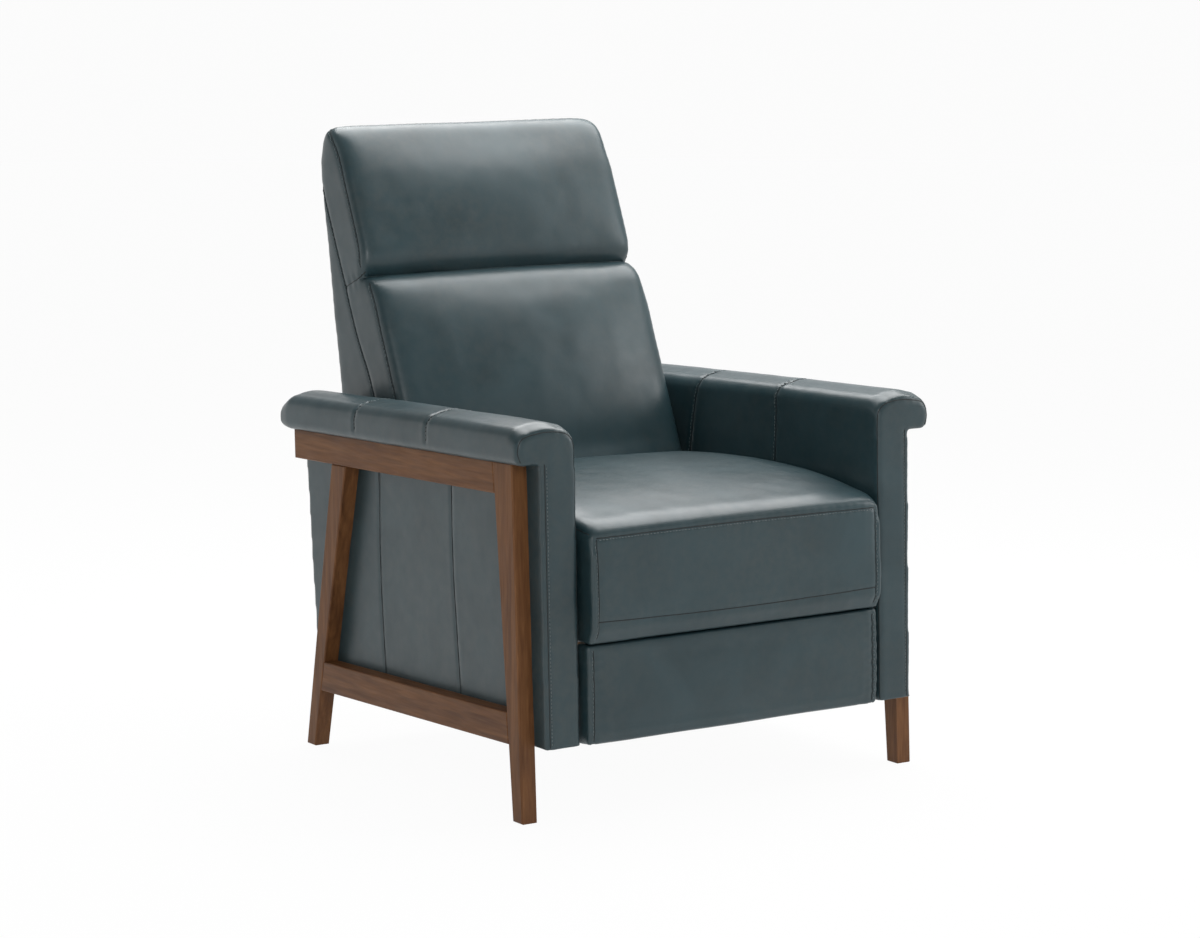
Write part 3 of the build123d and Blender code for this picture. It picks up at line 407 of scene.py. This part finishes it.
def skin(name, meshes, step):
    """One even, closed skin round all the given solids."""
    form = bmesh.new()
    for mesh in meshes:
        form.from_mesh(mesh)
    bmesh.ops.remove_doubles(form, verts=form.verts, dist=WELD * MM)
    joined = bpy.data.meshes.new(name)
    form.to_mesh(joined)
    piece = bpy.data.objects.new(name, joined)
    bpy.context.scene.collection.objects.link(piece)
    remesh = piece.modifiers.new("even", "REMESH")
    remesh.mode = "VOXEL"
    remesh.voxel_size = step * MM
    bake(piece)
    return piece


def curve(points, step):
    """Evenly spaced points on a smooth line through the given places, in the row frame."""
    places = [np.array(point) for point in points]
    ends = [2 * places[0] - places[1], *places, 2 * places[-1] - places[-2]]
    line = []
    for a, b, c, d in zip(ends, ends[1:], ends[2:], ends[3:]):
        count = max(2, int(np.linalg.norm(c - b) / step))
        for i in range(count):
            t = i / count
            line.append((2 * b + (c - a) * t + (2 * a - 5 * b + 4 * c - d) * t ** 2
                         + (3 * b - a - 3 * c + d) * t ** 3) / 2)
    line.append(places[-1])
    return [world(place) for place in line]


def surface(mesh):
    """A tree that finds the nearest place on a mesh."""
    return BVHTree.FromPolygons([v.co for v in mesh.vertices], [p.vertices for p in mesh.polygons])


def settle(line, tree):
    """The points of a line, moved onto a surface, each with the surface's normal there."""
    return [tree.find_nearest(point)[:2] for point in line]


def hide_height(point, seed):
    """Slow and small unevenness of a stuffed hide at a point, in millimetres."""
    offset = Vector([seed * step for step in SEED_STEPS])
    slow = noise.noise(point / (SLOW_WAVE * MM) + offset)
    small = noise.noise(point / (SMALL_WAVE * MM) + offset)
    return INFLATE + SLOW_HEIGHT * slow + SMALL_HEIGHT * small


def seam_height(seam, away, along):
    """Groove, swelling and puckers at a distance from a seam, in millimetres."""
    groove = -seam.groove * np.exp(-(away / seam.width) ** 2)
    swell = SWELL_SHARE * seam.groove * np.exp(-((away - SWELL_AWAY) / SWELL_WIDTH) ** 2)
    pucker = seam.pucker * sin(tau * along / PUCKER_PITCH) * np.exp(-(away / PUCKER_REACH) ** 2)
    return groove + swell + pucker


def upholster(piece, seams, seed):
    """Sews the seams into a skin: unevenness all over, and a groove with puckered edges at each seam."""
    mesh = piece.data
    tree = surface(mesh)
    finders = []
    for seam in seams:
        line = settle(curve(seam.points, SEAM_STEP), tree)
        finder = kdtree.KDTree(len(line))
        for i, (place, _) in enumerate(line):
            finder.insert(place, i)
        finder.balance()
        finders.append((seam, finder))
    moved = []
    for vertex in mesh.vertices:
        height = hide_height(vertex.co, seed)
        for seam, finder in finders:
            _, index, away = finder.find(vertex.co)
            if away < SEAM_REACH * MM:
                height += seam_height(seam, away / MM, index * SEAM_STEP)
        moved.append(vertex.co + vertex.normal * height * MM)
    mesh.vertices.foreach_set("co", np.array(moved, np.float32).ravel())
    mesh.update()


def add_stitch(form, place, normal, direction):
    """One spindle of thread lying on the leather."""
    half = direction * STITCH_LENGTH / 2 * MM
    side = normal.cross(direction).normalized()
    spokes = (side, normal, -side, -normal)
    tips = [form.verts.new(place + half * end) for end in (-1, 1)]
    rings = []
    for end in (-STITCH_WAIST, STITCH_WAIST):
        centre = place + half * end + normal * STITCH_RADIUS * MM
        rings.append([form.verts.new(centre + spoke * STITCH_RADIUS * MM) for spoke in spokes])
    for i in range(len(spokes)):
        following = (i + 1) % len(spokes)
        form.faces.new((rings[0][i], rings[0][following], rings[1][following], rings[1][i]))
        form.faces.new((tips[0], rings[0][following], rings[0][i]))
        form.faces.new((tips[1], rings[1][i], rings[1][following]))


def add_seam_shade(form, line):
    """The fine dark line where two panels meet, as a closed tube lying in the groove; its near-black colour
    is painted shade for the gap.
    """
    turns = [tau * k / JOIN_SIDES for k in range(JOIN_SIDES)]
    rings = []
    for i, (place, normal) in enumerate(line):
        direction = line[min(i + 1, len(line) - 1)][0] - line[max(i - 1, 0)][0]
        side = normal.cross(direction).normalized()
        spokes = [side * cos(turn) + normal * sin(turn) for turn in turns]
        rings.append([form.verts.new(place + spoke * JOIN_RADIUS * MM) for spoke in spokes])
    faces = [form.faces.new(rings[0]), form.faces.new(rings[-1])]
    for ring, following in zip(rings, rings[1:]):
        for k in range(JOIN_SIDES):
            beside = (k + 1) % JOIN_SIDES
            faces.append(form.faces.new((ring[k], ring[beside], following[beside], following[k])))
    for face in faces:
        # Material 1 is the painted seam shade
        face.material_index = 1


def stitching_and_seam_shade(name, piece, seams):
    """The joins of a finished skin, as tubes coloured with painted seam shade, with rows of topstitching
    beside them.
    """
    tree = surface(piece.data)
    form = bmesh.new()
    for seam in seams:
        add_seam_shade(form, settle(curve(seam.points, SEAM_STEP), tree))
        line = settle(curve(seam.points, STITCH_PITCH), tree)
        for row in seam.rows:
            for (before, _), (place, normal), (after, _) in zip(line, line[1:], line[2:]):
                direction = (after - before).normalized()
                spot, up = tree.find_nearest(place + normal.cross(direction) * row * MM)[:2]
                add_stitch(form, spot, up, direction)
    bmesh.ops.recalc_face_normals(form, faces=form.faces)
    mesh = bpy.data.meshes.new(name)
    form.to_mesh(mesh)
    mesh.materials.append(thread)
    mesh.materials.append(seam_shade)
    mesh.shade_smooth()
    sewn = bpy.data.objects.new(name, mesh)
    bpy.context.scene.collection.objects.link(sewn)
    return sewn


def upholstered(name, body, meshes, seams, replaced, rounds, seed, step=FINE_STEP, shift=None, share=None,
                soft_rounds=0):
    """Makes a leather piece with its stitching and painted seam shade, riding on a body in place of its
    plain solids.
    """
    piece = skin(name, meshes, step)
    soften(piece, rounds)
    if shift:
        reshape(piece, shift)
    if share:
        soften(piece, soft_rounds, share)
    piece.data.materials.clear()
    piece.data.materials.append(leather)
    piece.data.shade_smooth()
    upholster(piece, seams, seed)
    # The sewn piece holds the thread's stitches and the tubes of painted seam shade
    sewn = stitching_and_seam_shade(name + "_stitching", piece, seams)
    for made in (piece, sewn):
        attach(made, body)
    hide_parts(*replaced)


# Arms: a side panel and a padded top in one skin, with an L-shaped front panel and cross seams
ARM_FRONT = -34.0
ARM_BOTTOM = 117.0
ARM_INNER = 291.0
ARM_OUTER = 353.0
ARM_REAR = (674.0, 701.0)
ARM_JOIN = 347.0
RIM_INSET = 2.0
SEAM_FOOT = ARM_BOTTOM + 3.0
PAD_JOIN = 578.0
PAD_OUTER = 396.0
PAD_TOP = 625.0

# Depths of each cross seam on the arm's inner face, over its top and at the foot of its side panel
CROSS_SEAMS = ((495.0, 458.0, 450.0), (246.0, 233.0, 216.0))


def arm_seams(sign):
    """The seams of one arm: its front panel's join and rim, then each cross seam's top and side."""
    join = [(ARM_JOIN, ARM_FRONT, height) for height in (SEAM_FOOT, 330, 556)]
    rim_line = [(389, 562), (394, 576), (391, 590), (380, 600), (345, 605), (316, 603), (299, 594),
                (292, 572), (ARM_INNER, 480), (ARM_INNER, 300), (ARM_INNER, SEAM_FOOT)]
    rim = [(x, ARM_FRONT + RIM_INSET, height) for x, height in rim_line]
    seams = [Seam(on_side(sign, join), rows=(sign * END_ROW_AWAY,)), Seam(on_side(sign, rim), rows=())]
    for inner, top, foot in CROSS_SEAMS:
        over = [(ARM_INNER, inner, 470), (ARM_INNER, (inner + top) / 2, 560), (ARM_INNER + 3, top + 6, 598),
                (ARM_INNER + 22, top + 2, PAD_TOP - 3), (345, top, PAD_TOP), (378, top, PAD_TOP - 6),
                (PAD_OUTER - 1, top, 598), (PAD_OUTER - 2, top, 574)]
        down = [(ARM_OUTER, top - 2, 512), (ARM_OUTER, (top + foot) / 2 + 4, 340), (ARM_OUTER, foot, 165)]
        seams.append(Seam(on_side(sign, over), groove=1.8, pucker=0.3))
        seams.append(Seam(on_side(sign, down), rows=()))
    return seams


arm_panel = [(ARM_FRONT, ARM_BOTTOM), (ARM_REAR[0], ARM_BOTTOM), (ARM_REAR[1], PAD_JOIN),
             (ARM_FRONT, PAD_JOIN)]
for side, sign in SIDES.items():
    panel = prism_mesh(arm_panel, sign * ARM_INNER, sign * ARM_OUTER)
    upholstered(f"arm_{side}", "base", [panel, node_mesh(f"arm_pad_{side}")], arm_seams(sign),
                [f"arm_pad_{side}", f"arm_cover_{side}"], rounds=8, seed=2 + sign)

# Seat: a crowned cushion with a soft shoulder over a flat border, sewn along the border's top, foot and ends
SEAT_HALF_WIDTH = 279.0
SEAT_END = 268.0
SEAT_SEAM = 440.0
SEAT_FRONT = -58.0
SLOPE_END = 110.0
SLOPE_FALL = 12.0
SLOPE_HEIGHTS = (SEAT_SEAM + 6, SEAT_SEAM + 32)
SOFT_HEIGHTS = (SEAT_SEAM + 1, SEAT_SEAM + 14)


def seat_slope(x, depth, height):
    """Lets the front of the cushion fall away in a broad slope towards its seam."""
    nearness = 1 - rise(depth, SEAT_FRONT, SLOPE_END)
    return (0, 0, -SLOPE_FALL * nearness ** 2 * rise(height, *SLOPE_HEIGHTS))


def seat_softness(x, depth, height):
    """Rounds off the cushion above its seam, and leaves the border flat."""
    return rise(height, *SOFT_HEIGHTS)


seat_border = [(-44, 274.5), (6, 274.5), (6, 434), (-48, 434), (-55, 415), (-57, 330), (-55, 296)]
border_top = across([(0, -59, 441), (150, -57, SEAT_SEAM), (SEAT_END, -51, 438)])
border_foot = across([(0, -57, 305), (120, -56, 306), (SEAT_END, -52, 309)])
border_end = [(SEAT_END, -50, 436), (SEAT_END, -56, 400), (SEAT_END, -57, 330), (SEAT_END, -42, 286)]
seat_side = [(276, -44, 444), (278, 20, 452), (278, 200, 458), (277, 420, 456)]
seat_seams = [Seam(border_top, rows=(-ROW_AWAY,), pucker=0.2), Seam(border_foot, rows=())]
for sign in SIDES.values():
    seat_seams += [Seam(on_side(sign, border_end), rows=(sign * END_ROW_AWAY,), pucker=0.25),
                   Seam(on_side(sign, seat_side), rows=())]
seat_meshes = [node_mesh("seat_cushion"), prism_mesh(seat_border, -SEAT_HALF_WIDTH, SEAT_HALF_WIDTH)]
upholstered("seat", "seat", seat_meshes, seat_seams, ["seat_cushion"], rounds=4, seed=5,
            shift=seat_slope, share=seat_softness, soft_rounds=120)

# Footrest: a padded panel with square ends, and a gathered seam near each end
FOOTREST_HALF_WIDTH = 280.0
FOOTREST_END = 270.0
footrest_form = [(-37, 117), (-41, 132), (-42, 260), (-39, 271), (-8, 272), (-8, 115)]
footrest_end = [(FOOTREST_END, -30, 267), (FOOTREST_END, -38, 252), (FOOTREST_END, -41, 190),
                (FOOTREST_END, -38, 134), (FOOTREST_END, -30, 118)]
footrest_seams = [Seam(on_side(sign, footrest_end), rows=(sign * END_ROW_AWAY,), pucker=0.7)
                  for sign in SIDES.values()]
footrest_meshes = [node_mesh("footrest_pad"),
                   prism_mesh(footrest_form, -FOOTREST_HALF_WIDTH, FOOTREST_HALF_WIDTH)]
upholstered("footrest", "footrest", footrest_meshes, footrest_seams, ["footrest_pad"], rounds=4, seed=6)

# Back: two cushions that meet in a deep crease, a band and a gusset at each side, and a padded outside
BACK_SIDE = 269.5
GUSSET_THICKNESS = 13.0
FILL_HALF_WIDTH = 264.0
CREASE = 349.0
CREASE_END = (246.0, 267.0)
REAR_SEAM = 257.0

# Rolls of the back cushions, with the spans along the back and through it where each sets in
HEAD_ROLL = 9.0
HEAD_ROLL_SPAN = (520.0, 615.0)
LUMBAR_ROLL = 6.0
LUMBAR_ROLL_SPAN = (260.0, 345.0)
HEAD_LIP = 5.0
HEAD_LIP_SPAN = (358.0, 410.0)
CREASE_SPAN = (345.0, 354.0)
ROLL_DEPTH = (50.0, 90.0)

# Softness of the back cushions: spans along the back, away from the crease and through the back
LEAST_SOFTNESS = 0.3
HEAD_SOFT_SPAN = (500.0, 545.0)
LUMBAR_FIRM_BELOW = (60.0, 110.0)
HEAD_EDGE_ABOVE = (8.0, 40.0)
LUMBAR_EDGE_BELOW = (3.0, 16.0)
REAR_SPAN = (80.0, 110.0)


def back_outline(*places):
    """(depth, height) points of an outline that is given as (through, along) on the back."""
    return [on_back(0, *place)[1:] for place in places]


def back_line(x, places):
    """A line at one X through (through, along) places on the back."""
    return [on_back(x, *place) for place in places]


def back_roll(x, depth, height):
    """Lets the top of each cushion roll rearward, and the head's lower edge hang into the crease."""
    through, along = back_place(depth, height)
    lumbar = rise(along, *LUMBAR_ROLL_SPAN) ** 2 * (1 - rise(along, *CREASE_SPAN))
    back = HEAD_ROLL * rise(along, *HEAD_ROLL_SPAN) ** 2 + LUMBAR_ROLL * lumbar
    down = HEAD_LIP * rise(along, *CREASE_SPAN) * (1 - rise(along, *HEAD_LIP_SPAN))
    nearness = 1 - rise(through, *ROLL_DEPTH)
    return (0, nearness * (back * cos(BACK_LEAN) - down * sin(BACK_LEAN)),
            -nearness * (back * sin(BACK_LEAN) + down * cos(BACK_LEAN)))


def back_softness(x, depth, height):
    """Rounds off the top of each cushion most, the rear a little, and the crease's edges not at all."""
    through, along = back_place(depth, height)
    if along < CREASE:
        below = CREASE - along
        front = max(LEAST_SOFTNESS, 1 - rise(below, *LUMBAR_FIRM_BELOW)) * rise(below, *LUMBAR_EDGE_BELOW)
    else:
        above = along - CREASE
        front = max(LEAST_SOFTNESS, rise(along, *HEAD_SOFT_SPAN)) * rise(above, *HEAD_EDGE_ABOVE)
    return front + (LEAST_SOFTNESS - front) * rise(through, *REAR_SPAN)


crease_fill = back_outline((66, 330), (88, 330), (98, 370), (76, 370))
crease_end = back_outline((46, 326), (88, 326), (98, 374), (56, 374))
top_fill = back_outline((60, 556), (60, 611), (78, 612), (99, 581), (105, 552))
gusset = back_outline((78, -190), (78, 346), (92, 352), (92, 560), (93, 572), (267, -160))
back_meshes = [node_mesh("lumbar_cushion"), node_mesh("head_cushion"), node_mesh("outside_back"),
               prism_mesh(crease_fill, -FILL_HALF_WIDTH, FILL_HALF_WIDTH),
               prism_mesh(top_fill, -FILL_HALF_WIDTH, FILL_HALF_WIDTH)]
lumbar_edge = ((16, -60), (16, 60), (16, 200), (18, 290), (25, 334))
head_edge = ((38, 364), (30, 400), (30, 480), (33, 560), (44, 600))
band_edge = ((84, -60), (82, 160), (95, 272), (101, 429), (104, 530))
crease_side = ((28, CREASE), (60, CREASE), (96, CREASE))
over_top = [on_back(x, 54, 620) for x in (246, 120, 0, -120, -246)]
head_seam = back_line(BACK_SIDE, head_edge) + over_top + back_line(-BACK_SIDE, head_edge[::-1])
rear_foot = across([(0, 681, 272), (120, 681, 272), (248, 681, 272)])
rear_edge = [(REAR_SEAM, 684, 300), (REAR_SEAM, 729, 640), (REAR_SEAM, 774, 968)]
back_seams = [Seam(head_seam, rows=(-ROW_AWAY,), pucker=0.2), Seam(rear_foot)]
for sign in SIDES.values():
    edge = sign * BACK_SIDE
    back_meshes += [prism_mesh(gusset, sign * (BACK_SIDE - GUSSET_THICKNESS), edge),
                    prism_mesh(crease_end, sign * CREASE_END[0], sign * CREASE_END[1])]
    back_seams += [Seam(back_line(edge, lumbar_edge), rows=(-sign * ROW_AWAY,), pucker=0.2),
                   Seam(back_line(edge, band_edge)),
                   Seam(back_line(edge, crease_side), rows=(), pucker=0.5),
                   Seam(on_side(sign, rear_edge))]
back_solids = ["lumbar_cushion", "head_cushion", "outside_back", "back_side_panel_left",
               "back_side_panel_right"]
upholstered("back_cushion", "back", back_meshes, back_seams, back_solids, rounds=8, seed=7, step=COARSE_STEP,
            shift=back_roll, share=back_softness, soft_rounds=70)

# Studio
WHITE = (1.0, 1.0, 1.0, 1.0)
PAINT = (0.86, 0.86, 0.86, 1.0)
PAINT_ROUGHNESS = 0.9
WORLD_STRENGTH = 0.3
GLOW_SHARE = 0.96
SURROUND_RADIUS = 16.0
SURROUND_HEIGHT = 5.0
SURROUND_SIDES = 96


def light_path_share(tree, share):
    """The share where the camera sees a surface, straight or in gloss and glass, and 0 for other light."""
    path = tree.nodes.new("ShaderNodeLightPath")
    seen = path.outputs["Is Camera Ray"]
    for name in ("Is Glossy Ray", "Is Transmission Ray"):
        most = tree.nodes.new("ShaderNodeMath")
        most.operation = "MAXIMUM"
        tree.links.new(seen, most.inputs[0])
        tree.links.new(path.outputs[name], most.inputs[1])
        seen = most.outputs[0]
    times = tree.nodes.new("ShaderNodeMath")
    times.operation = "MULTIPLY"
    times.inputs[1].default_value = share
    tree.links.new(seen, times.inputs[0])
    return times.outputs[0]


def plain_world():
    studio = bpy.data.worlds.new("studio")
    studio.use_nodes = True
    sky = studio.node_tree.nodes["Background"]
    fill_inputs(sky, {"Color": WHITE, "Strength": WORLD_STRENGTH})
    bpy.context.scene.world = studio


def pale_material():
    """White paint that shows nearly white to the camera and in gloss, and still takes shadows."""
    material = bpy.data.materials.new("pale")
    material.use_nodes = True
    tree = material.node_tree
    paint = tree.nodes["Principled BSDF"]
    fill_inputs(paint, {"Base Color": PAINT, "Roughness": PAINT_ROUGHNESS})
    glow = tree.nodes.new("ShaderNodeEmission")
    fill_inputs(glow, {"Color": WHITE})
    mix = tree.nodes.new("ShaderNodeMixShader")
    tree.links.new(light_path_share(tree, GLOW_SHARE), mix.inputs["Fac"])
    tree.links.new(paint.outputs[0], mix.inputs[1])
    tree.links.new(glow.outputs[0], mix.inputs[2])
    tree.links.new(mix.outputs[0], tree.nodes["Material Output"].inputs["Surface"])
    return material


def pale_surround():
    """A round floor with a low wall far behind it on every side."""
    form = bmesh.new()
    circle = bmesh.ops.create_circle(form, cap_ends=True, segments=SURROUND_SIDES, radius=SURROUND_RADIUS)
    rim = [edge for edge in form.edges if all(v in circle["verts"] for v in edge.verts)]
    raised = bmesh.ops.extrude_edge_only(form, edges=rim)["geom"]
    wall_top = [item for item in raised if isinstance(item, bmesh.types.BMVert)]
    bmesh.ops.translate(form, vec=(0, 0, SURROUND_HEIGHT), verts=wall_top)
    mesh = bpy.data.meshes.new("surround")
    form.to_mesh(mesh)
    mesh.materials.append(pale_material())
    surround = bpy.data.objects.new("surround", mesh)
    bpy.context.scene.collection.objects.link(surround)


def softbox(name, place, target, width, height, watts):
    lamp = bpy.data.lights.new(name, "AREA")
    lamp.shape = "RECTANGLE"
    lamp.size = width
    lamp.size_y = height
    lamp.energy = watts
    box = bpy.data.objects.new(name, lamp)
    box.location = place
    box.rotation_mode = "QUATERNION"
    box.rotation_quaternion = (Vector(target) - Vector(place)).to_track_quat("-Z", "Y")
    bpy.context.scene.collection.objects.link(box)


plain_world()
pale_surround()
softbox("overhead", place=(0.8, 0.6, 2.5), target=(0.0, 0.0, 0.5), width=3.2, height=2.2, watts=108.0)
softbox("front_left", place=(-2.2, -3.4, 2.0), target=(0.0, 0.0, 0.5), width=1.4, height=1.4, watts=32.0)
softbox("right", place=(2.8, -1.6, 1.7), target=(0.0, 0.0, 0.6), width=0.9, height=1.8, watts=24.0)

# Camera, at the photograph's angle: millimetres, with Y from the front feet, and degrees
CAMERA_X = -3201.01
CAMERA_Y = -4427.46
CAMERA_Z = 1340.83
CAMERA_DOWN = 8.551
CAMERA_TURN = -33.806
CAMERA_LENS = 105.57
SENSOR_WIDTH = 36.0
camera = bpy.data.cameras.new("camera")
camera.sensor_fit = "HORIZONTAL"
camera.sensor_width = SENSOR_WIDTH
camera.lens = CAMERA_LENS
eye = bpy.data.objects.new("camera", camera)
eye.location = (CAMERA_X * MM, (CAMERA_Y + FOOT_Y) * MM, CAMERA_Z * MM)
eye.rotation_euler = (radians(90 - CAMERA_DOWN), 0.0, radians(CAMERA_TURN))
bpy.context.scene.collection.objects.link(eye)
bpy.context.scene.camera = eye
bpy.context.scene.view_settings.view_transform = "Standard"
